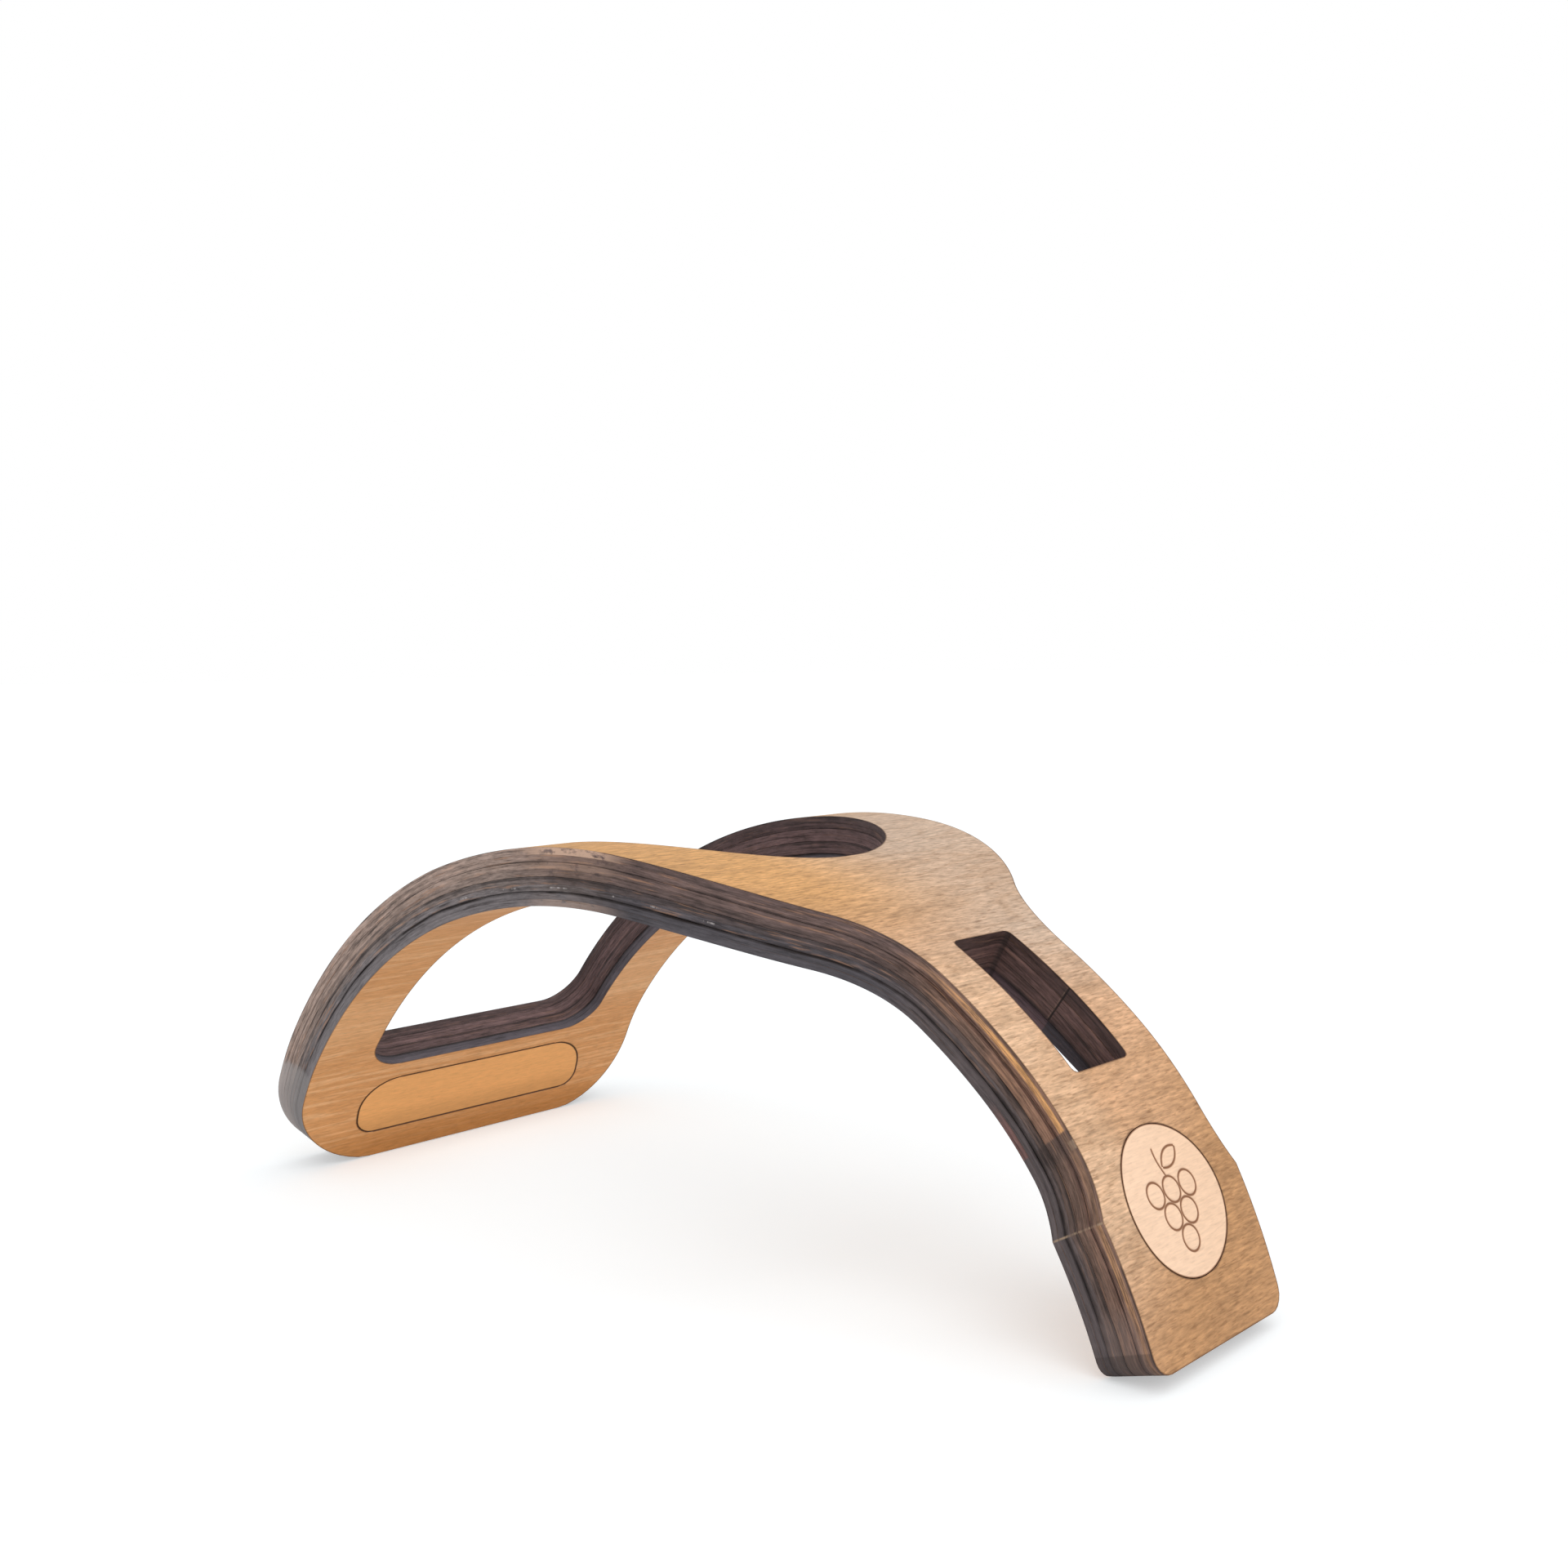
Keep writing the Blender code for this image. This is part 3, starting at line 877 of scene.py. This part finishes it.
def scorched_flare(g, run, colour):
    scorched = g.between(run, SCORCH_U - STEP_SOFT, SCORCH_U + STEP_SOFT, 0.0, SCORCH_AMOUNT)
    faded = g.between(run, *SCORCH_FADE)
    past_tab = g.between(run, TAB_U - STEP_SOFT, TAB_U + STEP_SOFT, 1.0, SCORCH_TAB_SHARE)
    return g.mix(g.product(scorched, faded, past_tab), colour, tone(SCORCHED))


# Other marks along the leg: a dark hip on the outermost veneer, tan outer veneers above the scorch,
# a red-brown band under the bare wood, and a reddish innermost veneer
DARK_HIP = (84, 68, 66)
DARK_HIP_FROM = (8, 24, 0.0, 0.45)
DARK_HIP_TO = (88, 72)
TAN = (164, 120, 92)
TAN_VENEERS = 4
TAN_FROM = (102, 112, 0.0, 0.35)
BARE_VENEERS = 2
RED_BROWN = (74, 46, 38)
RED_BAND_VENEERS = (2, 3)
RED_BAND_HEIGHT = (-3.9, -2.8, 0.4)
RED_BAND_FROM = (74, 90)
RED_BAND_RANGE = (0.68, 0.48)
RED_BAND_AMOUNT = 0.8
RED_EDGE = (158, 100, 88)
RED_EDGE_FROM = (112, 122, 0.0, 0.35)
PATCH_SCALE = (0.05, 0.05, 2.4)


def leg_marks(g, flat, colour, number):
    """Marks along the edge from the hip down the leg."""
    run, _, height = g.axes(flat)
    patchy = g.noise(flat, PATCH_SCALE, (2.0, 7.0, 0.0), detail=4.0, roughness=0.65)
    above_scorch = g.between(run, SCORCH_U + STEP_SOFT, SCORCH_U - STEP_SOFT)
    if number == 1:
        hip = g.product(g.between(run, *DARK_HIP_FROM), g.between(run, *DARK_HIP_TO))
        colour = g.mix(hip, colour, tone(DARK_HIP))
    if number <= TAN_VENEERS:
        tanned = g.product(g.between(run, *TAN_FROM), above_scorch)
        colour = g.mix(tanned, colour, tone(TAN))
    if number <= BARE_VENEERS:
        colour = bare_arris(g, flat, colour, patchy, above_scorch)
    if number in RED_BAND_VENEERS:
        band = g.product(
            g.within(height, *RED_BAND_HEIGHT),
            g.between(run, *RED_BAND_FROM),
            g.between(patchy, *RED_BAND_RANGE),
            RED_BAND_AMOUNT,
        )
        colour = g.mix(band, colour, tone(RED_BROWN))
    if number == VENEERS:
        reddish = g.product(g.between(run, *RED_EDGE_FROM), above_scorch)
        colour = g.mix(reddish, colour, tone(RED_EDGE))
    if number <= OUTER_VENEERS:
        colour = scorched_flare(g, run, colour)
    return colour


# Streaks along every edge: how fine each noise is and how much it shades, weaker on the inner veneers,
# and where the burnt noise turns the edge black or leaves it warm
LINES_SCALE = (0.030, 0.030, 1.9)
LINES_AMOUNT = 1.7
EDGE_FIBRE_SCALE = (0.36, 0.36, 3.0)
EDGE_FIBRE_AMOUNT = 1.9
BLOTCH_SCALE = (0.12, 0.12, 0.50)
BLOTCH_AMOUNT = 1.4
INNER_STREAKS = 0.6
CHAR = (34, 26, 25)
BURNT_SCALE = (0.080, 0.080, 1.5)
BURNT_FADE = (0.56, 0.68, 0.0, 0.55)
WARM_STREAK = (200, 150, 116)
WARM_RANGE = (0.44, 0.32)
WARM_OUTSIDE = 0.4
WARM_IN_OPENING = 0.12


def streaks(g, flat, colour, number, in_opening):
    """Streaks along the run, some burnt black and some left warm, and blotches."""
    depth = 1.0 if number <= OUTER_VENEERS else INNER_STREAKS
    lines = g.noise(flat, LINES_SCALE, detail=4.0, roughness=0.65, distortion=0.25)
    fibre = g.noise(flat, EDGE_FIBRE_SCALE, (5.0, 2.0, 0.0), detail=4.0, roughness=0.65)
    blotch = g.noise(flat, BLOTCH_SCALE, (0.0, 6.0, 0.0), detail=4.0, roughness=0.65)
    parts = [(lines, LINES_AMOUNT), (fibre, EDGE_FIBRE_AMOUNT), (blotch, BLOTCH_AMOUNT)]
    colour = g.shade(colour, *[(noise, amount * depth) for noise, amount in parts])
    burnt = g.noise(flat, BURNT_SCALE, (3.0, 11.0, 0.0), detail=4.0, roughness=0.6)
    colour = g.mix(g.between(burnt, *BURNT_FADE), colour, tone(CHAR))
    if number <= OUTER_VENEERS:
        amount = g.between(in_opening, 0, 1, WARM_OUTSIDE, WARM_IN_OPENING)
        colour = g.mix(g.product(g.between(burnt, *WARM_RANGE), amount), colour, tone(WARM_STREAK))
    return colour, lines


# Places rubbed pale on the near side of the crown, and how much so on each veneer
RUBBED = (212, 176, 152)
RUBBED_SCALE = (0.22, 0.22, 0.5)
RUBBED_RANGE = (0.33, 0.48)
RUBBED_RUN = (22, 6)
RUBBED_ACROSS = (-20, -40)
RUBBED_AMOUNT = (1.0, 0.18, 0.30, 0.12, 0.05, 0.05, 0.05, 0.3)


def crown_marks(g, flat, colour, number):
    run, across, _ = g.axes(flat)
    rubbed = g.noise(flat, RUBBED_SCALE, (9.0, 0.0, 0.0), detail=4.0, roughness=0.65)
    near_crown = g.product(g.between(g.away(run, 0.0), *RUBBED_RUN), g.between(across, *RUBBED_ACROSS))
    rub = g.product(near_crown, g.between(rubbed, *RUBBED_RANGE, 0.0, RUBBED_AMOUNT[number - 1]))
    return g.mix(rub, colour, tone(RUBBED))


# Lines at the glue joints, from the outer arris, 0, to the inner one, 8: how dark and how wide each is,
# and how far off the joint, on the ring and on the leg; strong joints are never quite broken
JOINT_DARKNESS = (0.70, 0.15, 0.40, 0.15, 0.75, 0.10, 1.0, 0.10, 0.25)
JOINT_WIDTH = (0.32, 0.30, 0.40, 0.30, 0.48, 0.30, 0.60, 0.30, 0.30)
LEG_JOINT_WIDTH = (0.80, 0.30, 0.40, 0.30, 0.55, 0.30, 0.95, 0.30, 0.30)
JOINT_SHIFT = (0.0, 0.0, 0.1, 0.0, -0.35, 0.0, -0.15, 0.0, 0.0)
LEG_JOINT_SHIFT = (0.0, 0.0, 0.1, 0.0, -0.35, 0.0, 0.25, 0.0, 0.0)
JOINT_CORE = 0.06
STRONG_JOINTS = (4, 6)
STRONG_LEAST = 0.45
BROKEN_SCALE = (0.05, 0.05, 0.0)
BROKEN_SHIFT = 4.3
BROKEN_RANGE = (0.40, 0.58)
WANDER_SCALE = (0.06, 0.06, 0.0)
WANDER = 0.6

# Pale scratches on the ring, just above the joint between the outer and the inner veneers
SCRATCH = (196, 188, 186)
SCRATCH_SCALE = (0.18, 0.18, 0.0)
SCRATCH_FADE = (0.55, 0.62, 0.0, 0.65)
SCRATCH_ABOVE = 1.0
SCRATCH_LINE = (0.06, 0.28, 1.0)
SCRATCH_RUN = (-54, 64, 10)


def joint_lines(g, flat, colour, number, outside):
    """Dark lines at the glue joints above and below a veneer, and the scratches."""
    run, _, height = g.axes(flat)
    wander = g.noise(flat, WANDER_SCALE, (8.0, 3.0, 0.0), detail=2.0)
    height = g.math("ADD", height, g.math("MULTIPLY_ADD", wander, WANDER, -WANDER / 2))
    for joint in (number - 1, number):
        width = g.between(run, *HIP_TO_LEG, JOINT_WIDTH[joint], LEG_JOINT_WIDTH[joint])
        shift = g.between(run, *HIP_TO_LEG, JOINT_SHIFT[joint], LEG_JOINT_SHIFT[joint])
        shifted = g.math("SUBTRACT", height, shift)
        joint_height = -joint * PITCH + GLUE / 2
        line = g.line_at(shifted, joint_height, JOINT_CORE, width, JOINT_DARKNESS[joint])
        gaps = g.noise(flat, BROKEN_SCALE, (joint * BROKEN_SHIFT, 0.0, 0.0), detail=4.0, roughness=0.6)
        least = STRONG_LEAST if joint in STRONG_JOINTS else 0.0
        colour = g.mix(g.product(line, g.between(gaps, *BROKEN_RANGE, least, 1.0)), colour, tone(CHAR))
    if number == OUTER_VENEERS:
        dash = g.noise(flat, SCRATCH_SCALE, (18.6, 0.0, 0.0), detail=5.0, roughness=0.75)
        scratch = g.product(
            g.between(dash, *SCRATCH_FADE),
            g.line_at(height, -OUTER_VENEERS * PITCH + SCRATCH_ABOVE, *SCRATCH_LINE),
            outside,
            g.within(run, *SCRATCH_RUN),
        )
        colour = g.mix(scratch, colour, tone(SCRATCH))
    return colour


# Marks broken up in patches: wear on the leg's end, and gaps in the painted highlight beside the slot's butt
# joint
BREAKUP_SCALE = (0.2, 0.2, 0.9)
BREAKUP_FADE = (0.40, 0.56, 0.25, 1.0)

# Leg's end: pale line where the tab begins, chip in the scorched flare, paler veneers, dark rounded corner
# This pale tone also paints the highlight beside the slot's butt joint
KINK = (178, 152, 126)
KINK_LINE = (0.08, 0.34, 0.75)
CHIP_RUN = (131.5, 132.8, 0.5)
CHIP_HEIGHT = (-1.5, 0.0, 0.3)
CHIP_AMOUNT = 0.8
PALE_END = (140, 122, 116)
PALE_END_FROM = (163, 169, 0.0, 0.33)
DARK_END = (58, 50, 48)
DARK_END_FROM = (RIGHT_END - 5.6, RIGHT_END - 5.2, 0.0, 0.40)


def end_marks(g, flat, colour, number, broken_up):
    """Marks on the edge of the leg's tab and just above it."""
    run, _, height = g.axes(flat)
    kink = g.line_at(run, TAB_U, *KINK_LINE)
    colour = g.mix(g.product(kink, broken_up), colour, tone(KINK))
    if 1 < number <= OUTER_VENEERS:
        colour = g.mix(g.between(run, *PALE_END_FROM), colour, tone(PALE_END))
    colour = g.mix(g.between(run, *DARK_END_FROM), colour, tone(DARK_END))
    if number == 1:
        chip = g.product(g.within(run, *CHIP_RUN), g.within(height, *CHIP_HEIGHT), broken_up, CHIP_AMOUNT)
        colour = g.mix(chip, colour, tone(KINK))
    return colour


# Slot: dark line in its upper corners, and its butt joint with a painted highlight beside it, broken up in
# patches
CORNER_U = SLOT_START + 0.9
CORNER_LINE = (0.2, 1.0, 0.6)
BUTT_LINE = (0.12, 0.34, 0.9)
BUTT_HIGHLIGHT_U = BUTT_U - 0.45
BUTT_HIGHLIGHT_LINE = (0.05, 0.22, 0.18)


def slot_marks(g, run, colour, number, in_opening, broken_up):
    """Lines across the edge inside the slot."""
    corner = g.line_at(run, CORNER_U, *CORNER_LINE)
    colour = g.mix(g.product(in_opening, corner), colour, tone(CHAR))
    if number <= OUTER_VENEERS:
        butt = g.line_at(run, BUTT_U, *BUTT_LINE)
        colour = g.mix(g.product(in_opening, butt), colour, tone(CHAR))
        # Painted highlight along the upper side of the butt joint's step
        butt_highlight = g.line_at(run, BUTT_HIGHLIGHT_U, *BUTT_HIGHLIGHT_LINE)
        colour = g.mix(g.product(in_opening, butt_highlight, broken_up), colour, tone(KINK))
    return colour


# Grey end of the wide foot, with a slanted and ragged border, a little darker from veneer to veneer
GREY_FOOT = (168, 162, 160)
GREY_FOOT_FADE = (-143.7, -146.9, 0.0, 0.72)
GREY_FOOT_SLANT = 0.37
GREY_FOOT_SCALE = (0.25, 0.25, 0.35)
GREY_FOOT_RAGGED = 6.0
GREY_FOOT_LEVEL = 1.06
GREY_FOOT_FALL = 0.03


def grey_foot(g, flat, colour, number, outside):
    run, _, height = g.axes(flat)
    slanted = g.math("MULTIPLY_ADD", height, GREY_FOOT_SLANT, run)
    ragged = g.math("MULTIPLY_ADD", g.noise(flat, GREY_FOOT_SCALE), GREY_FOOT_RAGGED, slanted)
    grey = g.product(g.between(ragged, *GREY_FOOT_FADE), outside)
    return g.mix(grey, colour, tone(GREY_FOOT, GREY_FOOT_LEVEL - GREY_FOOT_FALL * number))


def edge_colour(g, flat, number):
    """Laser-charred edge of one veneer, and the noise of its lines."""
    run, _, _ = g.axes(flat)
    in_opening = g.math("SUBTRACT", g.attribute("wall", "Fac"), float(OUTER_EDGE), clamp=True)
    outside = g.math("SUBTRACT", 1.0, in_opening)
    broken_up = g.between(g.noise(flat, BREAKUP_SCALE, (3.0, 8.0, 0.0)), *BREAKUP_FADE)
    colour = leg_marks(g, flat, stretch_tone(g, run, number), number)
    colour = g.mix(in_opening, colour, opening_tone(g, run, number))
    colour, lines = streaks(g, flat, colour, number, in_opening)
    colour = crown_marks(g, flat, colour, number)
    colour = joint_lines(g, flat, colour, number, outside)
    colour = end_marks(g, flat, colour, number, broken_up)
    colour = slot_marks(g, run, colour, number, in_opening, broken_up)
    return grey_foot(g, flat, colour, number, outside), lines


# Gloss and relief: roughness as a fade over a noise, and bump distances in metres
EDGE_ROUGHNESS = (0.3, 0.7, 0.78, 0.62)
FACE_ROUGHNESS = (0.3, 0.7, 0.62, 0.52)
INLAY_ROUGHNESS = (0.3, 0.7, 0.60, 0.50)
SPECULAR = 0.25
VENEER_BUMP = 0.00005
INLAY_BUMP = 0.00003

# Burnt rim round every cut in a face
BURNT = (92, 60, 38)
BURNT_RIM = (0.05, 0.42, 0.75, 0.0)


def on_any_edge(g):
    """One on the edges of a mesh, zero on its faces."""
    return g.math("MINIMUM", g.attribute("wall", "Fac"), 1.0)


def veneer_material(number):
    """Charred edge, and on the outermost and the innermost veneer a wooden face with a burnt rim."""
    g = Graph(f"veneer_{number}")
    flat = g.attribute("flat", "Vector")
    colour, relief = edge_colour(g, flat, number)
    rough = g.between(relief, *EDGE_ROUGHNESS)
    if number in (1, VENEERS):
        wood, fibre = outer_face(g, flat) if number == 1 else inner_face(g, flat)
        burn = g.between(g.attribute("rim", "Fac"), *BURNT_RIM)
        wood = g.mix(burn, wood, tone(BURNT))
        on_edge = on_any_edge(g)
        colour = g.mix(on_edge, wood, colour)
        relief = g.math("MULTIPLY_ADD", g.math("SUBTRACT", relief, fibre), on_edge, fibre)
        rough = g.between(fibre, *FACE_ROUGHNESS)
    normal = g.bump(relief, VENEER_BUMP)
    g.fill(g.shader, Base_Color=colour, Roughness=rough, Specular_IOR_Level=SPECULAR, Normal=normal)
    return g.material


# Axes of flat coordinates along which an inlay turns deeper
RUN = 0
ACROSS = 1

# Inlays: wave of their grain, and the thin burnt line along the rim and the engraving, darker down the edge
INLAY_WAVE = 0.2
INLAY_LINE = (0.12, 0.40, 0.9, 0.0)
INLAY_EDGE_LEVEL = 0.6


def inlay_material(name, axis, fade, plain, deep, contrast, line_colour):
    """Inlay wood that turns deeper along an axis, with a thin burnt line along its rim and engraving."""
    g = Graph(name)
    flat = g.attribute("flat", "Vector")
    colour = g.mix(g.between(g.axes(flat)[axis], *fade), tone(plain), tone(deep))
    wood, fibre = wood_figure(g, flat, colour, contrast, INLAY_WAVE)
    line = g.between(g.attribute("rim", "Fac"), *INLAY_LINE)
    wood = g.mix(line, wood, tone(line_colour))
    wood = g.mix(on_any_edge(g), wood, tone(line_colour, INLAY_EDGE_LEVEL))
    rough = g.between(fibre, *INLAY_ROUGHNESS)
    normal = g.bump(fibre, INLAY_BUMP)
    g.fill(g.shader, Base_Color=wood, Roughness=rough, Specular_IOR_Level=SPECULAR, Normal=normal)
    return g.material


# Plaque: orange wood, deeper along its lower end
PLAQUE = (246, 182, 114)
PLAQUE_DEEP = (222, 164, 102)
PLAQUE_LINE = (70, 42, 26)
PLAQUE_FADE = (PLAQUE_LOW + 9, PLAQUE_LOW + 1)
PLAQUE_CONTRAST = 0.28


def plaque_material():
    return inlay_material("plaque_wood", RUN, PLAQUE_FADE, PLAQUE, PLAQUE_DEEP, PLAQUE_CONTRAST, PLAQUE_LINE)


# Disc: pale wood, a little deeper on the far side
DISC = (247, 211, 180)
DISC_DEEP = (243, 206, 174)
DISC_LINE = (122, 72, 36)
DISC_FADE = (-10, 12)
DISC_CONTRAST = 0.30


def disc_material():
    return inlay_material("disc_wood", ACROSS, DISC_FADE, DISC, DISC_DEEP, DISC_CONTRAST, DISC_LINE)


def place_piece(piece, material, node):
    piece.data.materials.append(material)
    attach(piece, "root")
    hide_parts(node)


# Floor, in metres: pale, brought to white for the camera, keeps the shadow
FLOOR_REACH = 40
FLOOR_DROP = 0.0002
FLOOR_LIT = (0.845, 0.86, 0.885, 1)
FLOOR_SEEN = (0.69, 0.72, 0.735, 1)
FLOOR_GLOW = 0.41
FLOOR_ROUGHNESS = 0.9
WHITE = (1, 1, 1, 1)


def floor_material():
    g = Graph("floor")
    seen = g.add("LightPath").outputs["Is Camera Ray"]
    pale = g.mix(seen, FLOOR_LIT, FLOOR_SEEN)
    g.fill(g.shader, Base_Color=pale, Roughness=FLOOR_ROUGHNESS, Specular_IOR_Level=0.0)
    g.fill(g.shader, Emission_Color=WHITE, Emission_Strength=g.math("MULTIPLY", seen, FLOOR_GLOW))
    return g.material


def broad_floor():
    mesh = bpy.data.meshes.new("floor")
    corners = [(x * FLOOR_REACH, y * FLOOR_REACH, 0) for x, y in ((-1, -1), (1, -1), (1, 1), (-1, 1))]
    mesh.from_pydata(corners, [], [(0, 1, 2, 3)])
    mesh.materials.append(floor_material())
    item = new_object("floor", mesh)
    item.location.z = -FLOOR_DROP
    return item


# Even white surroundings, full strength only where the camera sees them
WORLD_LIT = 0.58
WORLD_SEEN = 1.0


def white_surroundings():
    world = bpy.data.worlds.new("studio")
    world.use_nodes = True
    tree = world.node_tree
    back = tree.nodes["Background"]
    back.inputs["Color"].default_value = WHITE
    path = tree.nodes.new("ShaderNodeLightPath")
    strength = tree.nodes.new("ShaderNodeMapRange")
    strength.inputs["To Min"].default_value = WORLD_LIT
    strength.inputs["To Max"].default_value = WORLD_SEEN
    tree.links.new(path.outputs["Is Camera Ray"], strength.inputs["Value"])
    tree.links.new(strength.outputs[0], back.inputs["Strength"])
    return world


def soft_light(name, direction, spread, strength):
    """A broad lamp that shines along a direction, evenly over the floor."""
    lamp = bpy.data.lights.new(name, "SUN")
    lamp.angle = math.radians(spread)
    lamp.energy = strength * math.pi
    item = new_object(name, lamp)
    item.rotation_euler = Vector(direction).to_track_quat("-Z", "Y").to_euler()


# Camera of the photograph: pixels of a frame 1920 wide, degrees and millimetres; nearest depth in metres
FRAME = 1920
FOCAL = 2027.6
OFFSET = (-107.73, 38.74)
YAW = math.radians(-42.008)
DOWN = math.radians(5.101)
ROLL = math.radians(0.774)
EYE = Vector((299.265 - MIDDLE, -283.719, 138.563))
SENSOR = 36.0
NEAREST = 0.01


def camera_turn():
    """Rotation of the camera from its directions to the right, downwards and forwards."""
    forward = Vector((math.sin(YAW) * math.cos(DOWN), math.cos(YAW) * math.cos(DOWN), -math.sin(DOWN)))
    level_right = Vector((math.cos(YAW), -math.sin(YAW), 0.0))
    level_down = forward.cross(level_right)
    right = level_right * math.cos(ROLL) + level_down * math.sin(ROLL)
    down = level_down * math.cos(ROLL) - level_right * math.sin(ROLL)
    return Matrix((right, -down, -forward)).transposed().to_4x4()


def photo_camera():
    optics = bpy.data.cameras.new("camera")
    optics.sensor_width = SENSOR
    optics.lens = FOCAL / FRAME * SENSOR
    optics.shift_x = OFFSET[0] / FRAME
    optics.shift_y = OFFSET[1] / FRAME
    optics.clip_start = NEAREST
    item = new_object("camera", optics)
    item.matrix_world = Matrix.Translation(EYE * MM) @ camera_turn()
    return item


# The holder
for number in range(1, VENEERS + 1):
    place_piece(veneer(number), veneer_material(number), f"veneer_{number}")
place_piece(plaque(), plaque_material(), "plaque_inlay")
place_piece(engraved_disc(), disc_material(), "disc_inlay")

# The studio
floor = broad_floor()
scene.world = white_surroundings()
soft_light("overhead", direction=(-0.50, 0.12, -1.0), spread=65, strength=0.37)
soft_light("front", direction=(-0.85, 0.35, -0.25), spread=60, strength=0.16)
scene.camera = photo_camera()
scene.view_settings.view_transform = "Standard"

# Bring every placement in the scene up to date
bpy.context.view_layer.update()
